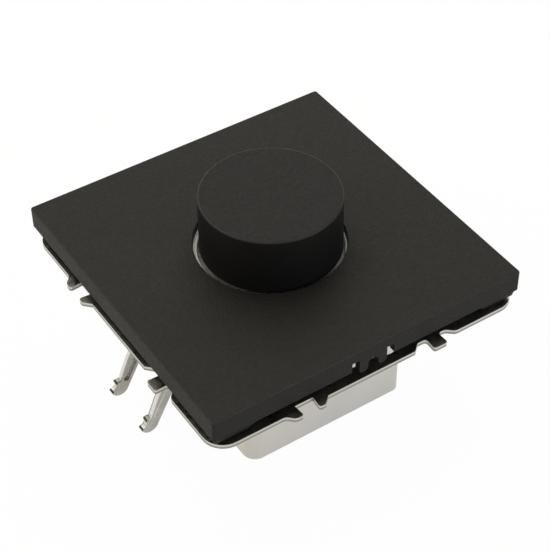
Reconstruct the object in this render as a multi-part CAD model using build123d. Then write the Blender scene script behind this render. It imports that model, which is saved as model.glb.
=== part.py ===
from build123d import *
import math
import os

# Rotary wall dimmer for a round wall box: turn to dim, push to switch.
# Sizes are in millimetres. The wall is the plane z = 0 and +Z points out of the wall.

# Fits
run_gap = 0.3  # between pieces that move against each other
slide_fit = 0.08  # round a shaft that turns or slides in its bore
locate_fit = 0.15  # round a piece that only locates another

# Support frame, stamped from sheet steel
frame_side = 70.4
frame_sheet = 1.0
frame_corner = 4.5
frame_opening = 35.0
tip_round = 0.55
root_round = 0.7
box_screw_spacing = 60.0
box_slot_width = 4.2
box_slot_turn = 20.0
box_slot_start = -9.5
box_entry_diameter = 7.0

# Dovetails that gang neighbouring frames together
coupling_offset = 14.75
tenon_head = 3.2
tenon_neck = 2.9
tenon_reach = 1.5
notch_depth = 1.45
steep_notch_wide = 5.1
steep_notch_narrow = 3.5
gentle_notch_wide = 5.4
gentle_notch_narrow = 2.4
mortise_offset = 15.2
mortise_depth = 1.25
mortise_floor = 4.0
mortise_mouth = 3.5
horn_reach = 1.5
horn_shoulder = 5.6
horn_flat = 1.0
horn_finger = 1.3
horn_finger_root = 2.9

# Housing, lid and the screws that clamp the frame between them
housing_left = 19.35
housing_right = 17.65
housing_depth = 42.4
housing_height = 27.3
housing_corner_left = 3.0
housing_corner_right = 1.4
housing_corner_inside = 0.6
housing_wall = 1.6
housing_bottom_round = 0.8
housing_boss = 6.8
housing_boss_inset = 3.9
housing_boss_end = 1.0
housing_screw_shank = 2.5
housing_screw_length = 11.0
housing_screw_head = 5.0
housing_screw_head_height = 1.8
housing_screw_head_round = 0.6
lid_wall = 1.5
lid_ring_wall = 1.9

# Cover plate
plate_side = 70.3
plate_rise = 8.3
plate_corner = 0.6
plate_edge_round = 0.25
plate_wall = 1.8
plate_opening = 30.8
plate_float = (-0.2, 0.14)  # where the plate sits in its play on the lid's ring
plate_play = 0.4
skirt_height = 4.65
skirt_wall = 1.4
foot_length = 7.9
foot_slant = 2.0
foot_inset = 0.3
foot_draft = 15.0
foot_height = 1.85
middle_foot_length = 8.0
tongue_width = 1.95
tongue_notch = 2.4
tongue_notch_height = 1.4
tongue_slot = 1.7
tongue_slot_height = 2.25
tongue_drop = 1.3
collar_wall = 1.4
collar_height = 1.5

# Control knob
knob_top_diameter = 28.5
knob_bottom_diameter = 28.8
knob_rise = 11.9
knob_sink = 0.8
knob_rim_round = 0.45
knob_wall = 1.4
knob_hub_diameter = 9.2
knob_hub_split = 1.0
knob_hub_split_height = 4.6
knob_rib = 1.0
knob_rib_height = 5.0
knob_ribs = 6
knob_clip_wall = 0.6
knob_clip_height = 3.0
knob_clip_split = 1.6
push_travel = 1.2

# Potentiometer
spindle_diameter = 6.0
spindle_flat = 1.3
spindle_grip = 7.6
spindle_shoulder = 7.6
spindle_shoulder_height = 1.2
bush_diameter = 10.0
bush_flange_height = 1.2
bush_stand = 1.0
bush_chamfer = 0.5
washer_diameter = 15.0
washer_height = 0.5
nut_across_flats = 14.0
nut_height = 2.0
nut_crown_slope = 30.0
control_diameter = 22.0
control_height = 8.0
control_wall = 1.0
wafer_height = 0.8
rotor_disc_height = 1.5
rotor_hub_diameter = 7.8
wiper_inset = 2.8
wiper_width = 1.6
wiper_sweep = 50.0

# Circuit board
board_thickness = 1.6
board_edge_gap = 0.3
board_hole = 7.0
board_ledge = 2.0
board_ledge_depth = 1.4
board_ledge_offset = 3.5

# Push switch under the board
switch_side = 11.0
switch_height = 10.0
switch_wall = 1.0
plunger_diameter = 5.0
plunger_round = 0.5
plunger_flange = 7.6
plunger_flange_height = 1.0
plunger_flange_drop = 2.2
plunger_tail_diameter = 2.8
plunger_tail = 2.6
bridge_length = 8.2
bridge_width = 4.6
bridge_height = 0.4
contact_blade = 0.6
contact_pad = 1.3
contact_width = 2.4
spring_wire = 0.6
spring_diameter = 5.2
spring_turns = 4.0

# Board components
component_gap = 0.4
choke_diameter = 11.0
choke_bore = 5.6
choke_height = 5.0
choke_wire = 0.9
choke_gap_angle = 60.0
film_width = 15.0
film_depth = 7.0
film_height = 12.0
film_round = 0.7
buffer_diameter = 8.0
buffer_height = 11.0
buffer_round = 0.7
buffer_offset = 1.5
transistor_width = 9.6
transistor_pitch = 10.2
transistor_body_height = 9.0
transistor_thickness = 4.4
transistor_tab = 1.3
transistor_hole = 2.4
transistor_leg = 0.8
transistor_leg_height = 1.6
transistor_leg_pitch = 2.54
spreader_sheet = 1.5
spreader_margin = 0.6
floor_gap = 1.0

# Terminals along the back of the housing
terminal_count = 3
terminal_pitch = 7.0
clamp_width = 5.6
clamp_depth = 6.4
clamp_height = 7.4
clamp_mouth = 3.8
clamp_roof = 1.6
clamp_back_gap = 1.8
wire_bore = 3.2
wire_tube_wall = 1.0
terminal_screw_shank = 2.6
terminal_screw_head = 4.0
terminal_access = 4.6

# Spreading claws, stamped from sheet steel
claw_standoff = 4.15
claw_pivot_drop = 1.5
claw_spread = 28.0
claw_sheet = 1.0
claw_half_span = 9.9
claw_bar = 1.8
claw_trunnion = 1.6
claw_trunnion_hole = 2.2
claw_arm_width = 7.6
claw_arm_reach = 8.8
claw_leg_offset = 6.0
claw_leg_length = 20.9
claw_leg_depth = 3.0
claw_leg_thickness = 1.4
claw_leg_back = 1.55
claw_leg_round = 0.2
claw_waist = 2.3
claw_waist_start = 14.0
claw_groove_width = 1.3
claw_groove_depth = 0.5
claw_groove_start = 4.0
claw_head_diameter = 3.9
claw_bite = 2.3
claw_bite_offset = 2.05
claw_tooth_round = 0.25
lug_width = 3.6
lug_height = 3.3
claw_screw_reach = 5.5
claw_screw_shank = 3.5
claw_screw_head = 6.3
claw_screw_head_height = 2.2
claw_screw_head_round = 0.3
claw_screw_seat = 0.1
claw_screw_slot = 1.0
claw_screw_slot_depth = 1.1
claw_screw_length = 10.0
claw_screw_hole = 4.3
claw_nut_side = 6.0
claw_nut_height = 2.2

# Levels that the stack of pieces gives
frame_top = frame_sheet
lid_top = frame_top + lid_wall
plate_top = plate_rise
plate_under = plate_top - plate_wall
skirt_bottom = plate_top - skirt_height
knob_bottom = plate_top - knob_sink
knob_top = plate_top + knob_rise
nut_bottom = lid_top + washer_height
nut_top = nut_bottom + nut_height
bush_top = nut_top + bush_stand
hub_bottom = bush_top + push_travel + 2 * run_gap
flange_bottom = frame_top - bush_flange_height
control_bottom = flange_bottom - control_height
board_bottom = control_bottom - board_thickness
shoulder_top = flange_bottom - run_gap
shoulder_bottom = shoulder_top - spindle_shoulder_height
rotor_top = shoulder_bottom - push_travel - run_gap
wafer_top = control_bottom + control_wall + wafer_height
spindle_bottom = control_bottom - control_wall
plunger_top = spindle_bottom - run_gap
flange_level = plunger_top - plunger_flange_drop
bridge_top = flange_level - plunger_flange_height
bridge_bottom = bridge_top - bridge_height
switch_bottom = board_bottom - switch_height
switch_floor = switch_bottom + switch_wall
housing_bottom = -housing_height
housing_floor = housing_bottom + housing_wall
screw_end = lid_top - housing_screw_length
boss_bottom = screw_end - housing_boss_end
clamp_bottom = board_bottom - clamp_height

# Places that pieces share
inner_left = housing_left - housing_wall
inner_right = housing_right - housing_wall
inner_y = housing_depth / 2 - housing_wall
boss_x = housing_right - housing_boss_inset
boss_y = housing_depth / 2 - housing_boss_inset
boss_places = [(boss_x, boss_y), (-boss_x, boss_y), (-boss_x, -boss_y), (boss_x, -boss_y)]
lid_ring_inner = knob_bottom_diameter / 2 + run_gap + locate_fit
lid_ring_outer = lid_ring_inner + lid_ring_wall
clamp_back = inner_y - clamp_back_gap
clamp_middle = clamp_back - clamp_depth / 2
terminal_level = board_bottom - clamp_height / 2
terminal_places = [(i - (terminal_count - 1) / 2) * terminal_pitch for i in range(terminal_count)]
pivot_x = -housing_left - claw_standoff
pivot_z = -claw_pivot_drop
claw_screw_x = pivot_x - claw_screw_reach
claw_nut_top = pivot_z - claw_sheet / 2 - run_gap
lug_inner = claw_half_span + run_gap
wiper_radius = control_diameter / 2 - control_wall - wiper_inset
choke_reach = choke_diameter / 2 + choke_wire
choke_place = (component_gap + choke_reach - inner_left,
               board_ledge_depth + component_gap + choke_reach - inner_y)
film_place = (inner_right - component_gap - film_width / 2,
              board_ledge_depth + component_gap + film_depth / 2 - inner_y)
buffer_place = (component_gap + buffer_diameter / 2 - inner_left, buffer_offset)
spreader_half = transistor_pitch / 2 + transistor_width / 2 + spreader_margin
spreader_middle = film_place[1] + film_depth / 2 + component_gap + spreader_half


def block(x_min, x_max, y_min, y_max, z_min, z_max):
    """A box between two opposite corners."""
    middle = Pos((x_min + x_max) / 2, (y_min + y_max) / 2, (z_min + z_max) / 2)
    return middle * Box(x_max - x_min, y_max - y_min, z_max - z_min)


def disc(diameter, z_min, z_max, x=0.0, y=0.0):
    """An upright cylinder between two levels."""
    return Pos(x, y, (z_min + z_max) / 2) * Cylinder(diameter / 2, z_max - z_min)


def slab(width, depth, corner, z_min, z_max):
    """A rounded rectangle between two levels."""
    return Pos(0, 0, z_min) * extrude(RectangleRounded(width, depth, corner), z_max - z_min)


def opposite(shape):
    """The same piece on the other side of the dimmer."""
    return Rot(0, 0, 180) * shape


def gentle_notch(edge):
    """The notch right of a tenon, which runs out to the frame's edge in a long S."""
    inner = edge + notch_depth
    far = coupling_offset + gentle_notch_wide
    near = coupling_offset + gentle_notch_narrow
    lead = Polyline((far, edge), (far, edge - horn_reach), (coupling_offset, edge - horn_reach),
                    (coupling_offset, inner), (near, inner))
    run_out = Spline((near, inner), (far, edge), tangents=[(1, 0), (1, 0)])
    return make_face([lead, run_out])


def steep_notch(edge):
    """The notch left of a tenon, with one slanted side."""
    wide = coupling_offset - steep_notch_wide
    narrow = coupling_offset - steep_notch_narrow
    return Polygon((wide, edge - horn_reach), (coupling_offset, edge - horn_reach),
                   (coupling_offset, edge + notch_depth), (narrow, edge + notch_depth),
                   (wide, edge), align=None)


def tenon(edge):
    """The dovetail that reaches into the neighbouring frame."""
    inner = edge + notch_depth
    outer = edge - tenon_reach
    return Polygon((coupling_offset - tenon_neck / 2, inner), (coupling_offset - tenon_head / 2, outer),
                   (coupling_offset + tenon_head / 2, outer), (coupling_offset + tenon_neck / 2, inner),
                   align=None)


def horns(edge):
    """The two horns that guide a neighbour's tenon: a long beak and a short finger."""
    middle = -mortise_offset
    outer = edge - horn_reach
    inner = edge + mortise_depth
    start = middle - horn_shoulder
    beak = middle - mortise_mouth / 2 - horn_flat
    finger = middle + mortise_mouth / 2 + horn_finger
    finger_root = middle + mortise_mouth / 2 + horn_finger_root
    flare = Spline((start, edge), (beak, outer), tangents=[(1, 0), (1, 0)])
    rest = Polyline((beak, outer), (finger, outer), (finger_root, edge), (finger_root, inner),
                    (start, inner), (start, edge))
    return make_face([flare, rest])


def mortise(edge):
    """The socket between the horns, a little wider at its floor."""
    middle = -mortise_offset
    floor = edge + mortise_depth
    outer = edge - horn_reach
    flare = (mortise_floor - mortise_mouth) / 2
    return Polygon((middle - mortise_floor / 2, floor), (middle - mortise_mouth / 2, outer),
                   (middle - mortise_mouth / 2 + flare, outer - horn_reach),
                   (middle + mortise_mouth / 2 - flare, outer - horn_reach),
                   (middle + mortise_mouth / 2, outer), (middle + mortise_floor / 2, floor), align=None)


def frame_outline():
    """The frame's square blank with the same dovetails on all four sides."""
    edge = -frame_side / 2
    outline = RectangleRounded(frame_side, frame_side, frame_corner)
    for turn in (0, 90, 180, 270):
        outline -= Rot(0, 0, turn) * (steep_notch(edge) + gentle_notch(edge))
        outline += Rot(0, 0, turn) * (tenon(edge) + horns(edge))
        outline -= Rot(0, 0, turn) * mortise(edge)
    half = frame_side / 2
    outline = fillet(sharp_corners(outline, half + horn_reach / 2, frame_side), tip_round)
    roots = sharp_corners(outline, 0, half - (notch_depth + mortise_depth) / 2)
    return fillet(roots, root_round)


def sharp_corners(outline, near, far):
    """Corners between two straight edges that lie in a band along the frame's four sides."""
    straight = outline.edges().filter_by(GeomType.LINE)
    corners = []
    for corner in outline.vertices():
        meeting = [edge for edge in straight if corner in edge.vertices()]
        if near < max(abs(corner.X), abs(corner.Y)) < far and len(meeting) == 2:
            corners.append(corner)
    return corners


def keyhole():
    """A slot on the box screws' circle, entered by the screw head at one end."""
    radius = box_screw_spacing / 2
    line = CenterArc((0, 0), radius, 270 + box_slot_start, box_slot_turn)
    entry = line @ 1
    return SlotArc(line, box_slot_width) + Pos(entry.X, entry.Y) * Circle(box_entry_diameter / 2)


def claw_lug(side):
    """An ear bent down beside its own window, with the hole that a claw turns in."""
    near = side * lug_inner
    far = side * (lug_inner + frame_sheet)
    ear = block(pivot_x - lug_width / 2, pivot_x + lug_width / 2, min(near, far), max(near, far),
                -lug_height, frame_top)
    pivot_hole = Pos(pivot_x, (near + far) / 2, pivot_z) * Rot(90, 0, 0)
    return ear - pivot_hole * Cylinder(claw_trunnion_hole / 2, 2 * frame_sheet)


def lug_window(side):
    """The gap that an ear leaves in the sheet."""
    near = side * (lug_inner + frame_sheet)
    far = side * (lug_inner + frame_sheet + lug_height)
    return block(pivot_x - lug_width / 2, pivot_x + lug_width / 2, min(near, far), max(near, far),
                 -frame_sheet, frame_top + frame_sheet)


def support_frame():
    frame = extrude(frame_outline(), frame_sheet)
    holes = extrude(Circle(frame_opening / 2) + keyhole() + opposite(keyhole()), frame_sheet)
    frame -= holes
    for x, y in boss_places:
        frame -= disc(housing_screw_shank + 2 * locate_fit, 0, frame_top, x, y)
    for turn in (0, 180):
        place = Rot(0, 0, turn)
        frame -= place * disc(claw_screw_hole, 0, frame_top, claw_screw_x, 0)
        for side in (-1, 1):
            frame -= place * lug_window(side)
            frame += place * claw_lug(side)
    return frame


def housing_outline(inset):
    """The housing's outline drawn in by a wall. Its left side reaches further and has rounder corners."""
    middle = (housing_right - housing_left) / 2
    outline = Rectangle(housing_left + housing_right - 2 * inset, housing_depth - 2 * inset)
    outline = Pos(middle, 0) * outline
    left = outline.vertices().group_by(Axis.X)[0]
    outline = fillet(left, max(housing_corner_left - inset, housing_corner_inside))
    right = outline.vertices().group_by(Axis.X)[-1]
    return fillet(right, max(housing_corner_right - inset, housing_corner_inside))


def housing_base():
    """The open box behind the frame, with screw bosses, board ledges and wire guides."""
    outer = Pos(0, 0, housing_bottom) * extrude(housing_outline(0), housing_height)
    outer = fillet(outer.faces().sort_by(Axis.Z)[0].edges(), housing_bottom_round)
    shell = outer - Pos(0, 0, housing_floor) * extrude(housing_outline(housing_wall), -housing_floor)
    for x, y in boss_places:
        shell += disc(housing_boss, boss_bottom, 0, x, y) & outer
    for side_x in (-1, 1):
        for side_y in (-1, 1):
            middle = side_x * board_ledge_offset
            near = side_y * (inner_y - board_ledge_depth)
            far = side_y * (inner_y + housing_wall / 2)
            shell += block(middle - board_ledge / 2, middle + board_ledge / 2, min(near, far),
                           max(near, far), housing_floor, board_bottom)
    for x in terminal_places:
        shell += disc(wire_bore + 2 * wire_tube_wall, housing_floor, clamp_bottom, x, clamp_middle)
    for x, y in boss_places:
        shell -= disc(housing_screw_shank, screw_end, 0, x, y)
    for x in terminal_places:
        shell -= disc(wire_bore, housing_bottom, clamp_bottom, x, clamp_middle)
        access = Pos(x, inner_y + housing_wall / 2, terminal_level) * Rot(90, 0, 0)
        shell -= access * Cylinder(terminal_access / 2, 2 * housing_wall)
    return shell


def housing_lid():
    """The moulded lid on the frame. Its ring carries the cover plate and guides the knob."""
    lid = Pos(0, 0, frame_top) * extrude(housing_outline(0), lid_wall)
    lid += disc(2 * lid_ring_outer, lid_top, plate_under)
    lid -= disc(2 * lid_ring_inner, lid_top, plate_under)
    lid -= disc(bush_diameter + 2 * locate_fit, frame_top, lid_top)
    for x, y in boss_places:
        lid -= disc(housing_screw_shank + 2 * locate_fit, frame_top, lid_top, x, y)
    return lid


def housing_screws():
    """Four pan-head screws through lid and frame into the housing's bosses."""
    screws = []
    for x, y in boss_places:
        head = disc(housing_screw_head, lid_top, lid_top + housing_screw_head_height, x, y)
        head = fillet(head.edges().sort_by(Axis.Z)[-1], housing_screw_head_round)
        screws.append(head + disc(housing_screw_shank, screw_end, lid_top, x, y))
    return Compound(children=screws)


def foot_gap(low_half, low_middle):
    """The space between a side's corner feet, with slanted ends, less a foot in its middle."""
    bottom = skirt_bottom - foot_height
    gap = Polygon((-low_half + foot_slant, skirt_bottom), (low_half - foot_slant, skirt_bottom),
                  (low_half, bottom), (-low_half, bottom), align=None)
    if low_middle > 0:
        gap -= Polygon((-low_middle - foot_slant, skirt_bottom), (low_middle + foot_slant, skirt_bottom),
                       (low_middle, bottom), (-low_middle, bottom), align=None)
    return extrude(Plane.XZ * gap, plate_side, both=True)


def foot_ring():
    """The lower edge of the plate's skirt, left standing at the corners and in the middle of two sides."""
    outer = plate_side - 2 * foot_inset
    inner = plate_side - 2 * skirt_wall
    ring = RectangleRounded(outer, outer, plate_corner)
    ring = Pos(0, 0, skirt_bottom) * extrude(ring, foot_height, dir=(0, 0, -1), taper=foot_draft)
    ring -= slab(inner, inner, plate_corner / 2, skirt_bottom - foot_height, skirt_bottom)
    low_half = plate_side / 2 - foot_length
    return ring - foot_gap(low_half, 0) - Rot(0, 0, 90) * foot_gap(low_half, middle_foot_length / 2)


def snap_tongues():
    """Two round-ended tongues in the middle of the skirt, with an arch between them and slots beside them."""
    outer = -plate_side / 2
    half_notch = tongue_notch / 2
    reach = half_notch + tongue_width
    slot_top = skirt_bottom + tongue_slot_height
    bottom = skirt_bottom - tongue_drop
    round_level = bottom + tongue_width / 2
    arch_level = skirt_bottom + tongue_notch_height - half_notch
    cut = block(-reach - tongue_slot, reach + tongue_slot, outer, outer + skirt_wall, skirt_bottom, slot_top)
    outline = Pos(0, (round_level + slot_top) / 2) * Rectangle(2 * reach, slot_top - round_level)
    for side in (-1, 1):
        outline += Pos(side * (half_notch + tongue_width / 2), round_level) * Circle(tongue_width / 2)
    outline -= Pos(0, arch_level) * Circle(half_notch)
    outline -= Pos(0, (arch_level + bottom) / 2) * Rectangle(tongue_notch, arch_level - bottom)
    return cut, Pos(0, outer, 0) * extrude(Plane.XZ * outline, -skirt_wall)


def cover_plate():
    """The square plate with its skirt, feet, snap tongues and locating collar."""
    inner = plate_side - 2 * skirt_wall
    plate = slab(plate_side, plate_side, plate_corner, skirt_bottom, plate_top)
    plate -= disc(plate_opening, plate_under, plate_top)
    plate = fillet(plate.faces().sort_by(Axis.Z)[-1].edges(), plate_edge_round)
    plate -= slab(inner, inner, plate_corner / 2, skirt_bottom, plate_under)
    plate += foot_ring()
    collar_inner = lid_ring_outer + plate_play
    collar_bottom = plate_under - collar_height
    collar = disc(2 * (collar_inner + collar_wall), collar_bottom, plate_under)
    plate += collar - disc(2 * collar_inner, collar_bottom, plate_under)
    cut, tongues = snap_tongues()
    plate = plate - cut + tongues
    plate = plate - opposite(cut) + opposite(tongues)
    return Pos(*plate_float, 0) * plate


def spindle_section(growth):
    """The spindle's round section with two flats, grown by a clearance."""
    radius = spindle_diameter / 2
    across = 2 * (radius - spindle_flat + growth)
    return Circle(radius + growth) & Rectangle(across, 2 * (radius + growth))


def control_knob():
    """A drafted cap with a split hub that grips the spindle, and ribs under its top."""
    height = knob_top - knob_bottom
    draft = (knob_bottom_diameter - knob_top_diameter) / 2
    cap = Cone(knob_bottom_diameter / 2, knob_top_diameter / 2, height)
    cap = Pos(0, 0, knob_bottom + height / 2) * cap
    cap = fillet(cap.edges().sort_by(Axis.Z)[-1], knob_rim_round)
    ceiling = knob_top - knob_wall
    hollow_height = ceiling - knob_bottom
    hollow_top = knob_top_diameter / 2 - knob_wall + draft * knob_wall / height
    hollow = Cone(knob_bottom_diameter / 2 - knob_wall, hollow_top, hollow_height)
    cap -= Pos(0, 0, knob_bottom + hollow_height / 2) * hollow
    for index in range(knob_ribs):
        rib = block(0, knob_top_diameter / 2 - knob_wall / 2, -knob_rib / 2, knob_rib / 2,
                    ceiling - knob_rib_height, ceiling)
        cap += Rot(0, 0, index * 360 / knob_ribs) * rib
    cap += disc(knob_hub_diameter, hub_bottom, ceiling)
    cap -= Pos(0, 0, hub_bottom) * extrude(spindle_section(slide_fit), spindle_grip + run_gap)
    slit = block(-knob_hub_diameter, knob_hub_diameter, -knob_hub_split / 2, knob_hub_split / 2,
                 hub_bottom, hub_bottom + knob_hub_split_height)
    return cap - slit


def knob_clip():
    """An open spring ring round the knob's split hub."""
    inner = knob_hub_diameter
    outer = inner + 2 * knob_clip_wall
    clip = disc(outer, hub_bottom, hub_bottom + knob_clip_height)
    clip -= disc(inner, hub_bottom, hub_bottom + knob_clip_height)
    return clip - block(0, outer, -knob_clip_split / 2, knob_clip_split / 2, hub_bottom,
                        hub_bottom + knob_clip_height)


def spindle():
    """The shaft that the knob turns and pushes. A shoulder stops it under the bush."""
    top = hub_bottom + spindle_grip
    shaft = Pos(0, 0, spindle_bottom) * extrude(spindle_section(0), shoulder_bottom - spindle_bottom)
    shaft += disc(spindle_shoulder, shoulder_bottom, shoulder_top)
    shaft += disc(spindle_diameter, shoulder_top, hub_bottom)
    return shaft + Pos(0, 0, hub_bottom) * extrude(spindle_section(0), top - hub_bottom)


def control_bush():
    """The turned bush and flange that hang the potentiometer from the lid."""
    bush = disc(bush_diameter, frame_top, bush_top)
    bush = chamfer(bush.edges().sort_by(Axis.Z)[-1], bush_chamfer)
    bush += disc(control_diameter, flange_bottom, frame_top)
    return bush - disc(spindle_diameter + 2 * slide_fit, flange_bottom, bush_top)


def bush_washer():
    washer = disc(washer_diameter, lid_top, nut_bottom)
    return washer - disc(bush_diameter + 2 * locate_fit, lid_top, nut_bottom)


def bush_nut():
    """The hexagon nut that clamps the lid between washer and flange."""
    hexagon = RegularPolygon(nut_across_flats / 2, 6, major_radius=False)
    nut = Pos(0, 0, nut_bottom) * extrude(hexagon, nut_height)
    crown_foot = nut_across_flats / 2 + nut_height / math.tan(math.radians(nut_crown_slope))
    crown = Cone(crown_foot, nut_across_flats / 2, nut_height)
    crown = Pos(0, 0, nut_bottom + nut_height / 2) * crown
    return (nut & crown) - disc(bush_diameter, nut_bottom, nut_top)


def control_case():
    """The potentiometer's moulded cup, which stands on the circuit board."""
    case = disc(control_diameter, control_bottom, flange_bottom)
    case -= disc(control_diameter - 2 * control_wall, control_bottom + control_wall, flange_bottom)
    return case - disc(spindle_diameter + 2 * run_gap, control_bottom, control_bottom + control_wall)


def resistance_wafer():
    bottom = control_bottom + control_wall
    wafer = disc(control_diameter - 2 * control_wall, bottom, wafer_top)
    return wafer - disc(rotor_hub_diameter + 2 * run_gap, bottom, wafer_top)


def wiper_rotor():
    """The rotor that the spindle turns and slides through."""
    hub_end = control_bottom + control_wall + run_gap
    rotor = disc(rotor_hub_diameter, hub_end, rotor_top)
    disc_diameter = control_diameter - 2 * control_wall - 4 * run_gap
    rotor += disc(disc_diameter, rotor_top - rotor_disc_height, rotor_top)
    return rotor - Pos(0, 0, hub_end) * extrude(spindle_section(slide_fit), rotor_top - hub_end)


def wiper_contact():
    """The sprung finger under the rotor that reads the resistance track."""
    top = rotor_top - rotor_disc_height
    bottom = wafer_top + run_gap
    finger = disc(2 * wiper_radius + wiper_width, bottom, top)
    finger -= disc(2 * wiper_radius - wiper_width, bottom, top)
    reach = 2 * wiper_radius
    half = math.radians(wiper_sweep / 2)
    wedge = Polygon((0, 0), (reach * math.cos(half), -reach * math.sin(half)),
                    (reach * math.cos(half), reach * math.sin(half)), align=None)
    return finger & Pos(0, 0, bottom) * extrude(wedge, top - bottom)


def circuit_board():
    """The board between potentiometer and components, notched round the bosses."""
    half_y = inner_y - board_edge_gap
    board = block(board_edge_gap - inner_left, inner_right - board_edge_gap, -half_y, half_y,
                  board_bottom, control_bottom)
    for x, y in boss_places:
        board -= disc(housing_boss + 2 * board_edge_gap, board_bottom, control_bottom, x, y)
        corner_x = inner_right if x > 0 else -inner_left
        corner_y = math.copysign(inner_y, y)
        board -= block(min(x, corner_x), max(x, corner_x), min(y, corner_y), max(y, corner_y),
                       board_bottom, control_bottom)
    return board - disc(board_hole, board_bottom, control_bottom)


def switch_case():
    """The push switch's cup, closed by the circuit board."""
    half = switch_side / 2
    inner = half - switch_wall
    case = block(-half, half, -half, half, switch_bottom, board_bottom)
    return case - block(-inner, inner, -inner, inner, switch_floor, board_bottom)


def switch_plunger():
    """The pin that the spindle pushes, with a flange for the bridge and the spring."""
    pin = disc(plunger_diameter, flange_level, plunger_top)
    pin = fillet(pin.edges().sort_by(Axis.Z)[-1], plunger_round)
    pin += disc(plunger_flange, bridge_top, flange_level)
    return pin + disc(plunger_tail_diameter, bridge_top - plunger_tail, bridge_top)


def contact_bridge():
    """The strip under the plunger's flange that closes the fixed contacts."""
    bridge = block(-bridge_length / 2, bridge_length / 2, -bridge_width / 2, bridge_width / 2,
                   bridge_bottom, bridge_top)
    return bridge - disc(plunger_tail_diameter, bridge_bottom, bridge_top)


def fixed_contacts():
    """Two bent blades on the switch's floor, one under each end of the bridge."""
    wall = switch_side / 2 - switch_wall
    pad_top = bridge_bottom - push_travel - run_gap
    blade = block(wall - contact_blade, wall, -contact_width / 2, contact_width / 2, switch_floor, pad_top)
    blade += block(wall - contact_pad, wall, -contact_width / 2, contact_width / 2,
                   pad_top - contact_blade, pad_top)
    return Compound(children=[blade, opposite(blade)])


def return_spring():
    """The coil spring that lifts plunger, spindle and knob after a push."""
    low = switch_floor + spring_wire / 2
    height = bridge_bottom - switch_floor - spring_wire
    radius = spring_diameter / 2
    coil = Pos(0, 0, low) * Helix(height / spring_turns, height, radius)
    section = Plane(coil @ 0, z_dir=coil % 0) * Circle(spring_wire / 2)
    return sweep(section, path=coil, is_frenet=True)


def choke_core():
    """The choke's powder-iron ring, inside its winding."""
    top = board_bottom - choke_wire
    core = disc(choke_diameter, top - choke_height, top, *choke_place)
    return core - disc(choke_bore, top - choke_height, top, *choke_place)


def choke_winding():
    """Copper wire wound round the core, apart from a gap between its two ends."""
    bottom = board_bottom - choke_height - 2 * choke_wire
    coil = disc(choke_diameter + 2 * choke_wire, bottom, board_bottom, *choke_place)
    coil -= disc(choke_bore - 2 * choke_wire, bottom, board_bottom, *choke_place)
    coil -= choke_core()
    reach = choke_diameter
    half = math.radians(choke_gap_angle / 2)
    wedge = Polygon((0, 0), (reach * math.cos(half), -reach * math.sin(half)),
                    (reach * math.cos(half), reach * math.sin(half)), align=None)
    return coil - Pos(*choke_place, bottom) * extrude(wedge, board_bottom - bottom)


def film_capacitor():
    box = Pos(*film_place, board_bottom - film_height / 2) * Box(film_width, film_depth, film_height)
    return fillet(box.edges().filter_by(Axis.Z), film_round)


def buffer_capacitor():
    """An upright can, rounded at its free end."""
    can = disc(buffer_diameter, board_bottom - buffer_height, board_bottom, *buffer_place)
    return fillet(can.edges().sort_by(Axis.Z)[0], buffer_round)


def heat_spreader():
    """The plate on the housing's wall that the transistors are clamped to."""
    return block(inner_right - spreader_sheet, inner_right, spreader_middle - spreader_half,
                 spreader_middle + spreader_half, housing_floor, board_bottom - board_edge_gap)


def power_transistors():
    """Two transistors, each with its tab against the spreader and its legs in the board."""
    back = inner_right - spreader_sheet
    body_top = board_bottom - transistor_leg_height
    body_bottom = body_top - transistor_body_height
    tab_bottom = housing_floor + floor_gap
    middle_x = back - transistor_thickness / 2
    half = transistor_width / 2
    devices = []
    for side in (-1, 1):
        y = spreader_middle + side * transistor_pitch / 2
        device = block(back - transistor_thickness, back, y - half, y + half, body_bottom, body_top)
        device += block(back - transistor_tab, back, y - half, y + half, tab_bottom, body_top)
        hole = Pos(back, y, (tab_bottom + body_bottom) / 2) * Rot(0, 90, 0)
        device -= hole * Cylinder(transistor_hole / 2, 2 * transistor_tab)
        for pin in (-1, 0, 1):
            leg_y = y + pin * transistor_leg_pitch
            device += block(middle_x - transistor_leg / 2, middle_x + transistor_leg / 2,
                            leg_y - transistor_leg / 2, leg_y + transistor_leg / 2, body_top, board_bottom)
        devices.append(device)
    return Compound(children=devices)


def terminal_clamps():
    """Brass cages under the board: the wire comes in from the back, the screw from the side."""
    cages = []
    for x in terminal_places:
        cage = block(x - clamp_width / 2, x + clamp_width / 2, clamp_back - clamp_depth, clamp_back,
                     clamp_bottom, board_bottom)
        half = clamp_mouth / 2
        cage -= block(x - half, x + half, clamp_middle - half, clamp_middle + half, clamp_bottom,
                      board_bottom - clamp_roof)
        hole = Pos(x, clamp_back, terminal_level) * Rot(90, 0, 0)
        cages.append(cage - hole * Cylinder(terminal_screw_shank / 2, clamp_depth / 2))
    return Compound(children=cages)


def terminal_screws():
    """Screws that press the wires in their cages, reached through holes in the housing."""
    screws = []
    for x in terminal_places:
        tip = clamp_middle + wire_bore / 2
        shank = Pos(x, (tip + clamp_back) / 2, terminal_level) * Rot(90, 0, 0)
        head = Pos(x, clamp_back + clamp_back_gap / 2, terminal_level) * Rot(90, 0, 0)
        screws.append(shank * Cylinder(terminal_screw_shank / 2, clamp_back - tip)
                      + head * Cylinder(terminal_screw_head / 2, clamp_back_gap))
    return Compound(children=screws)


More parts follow.
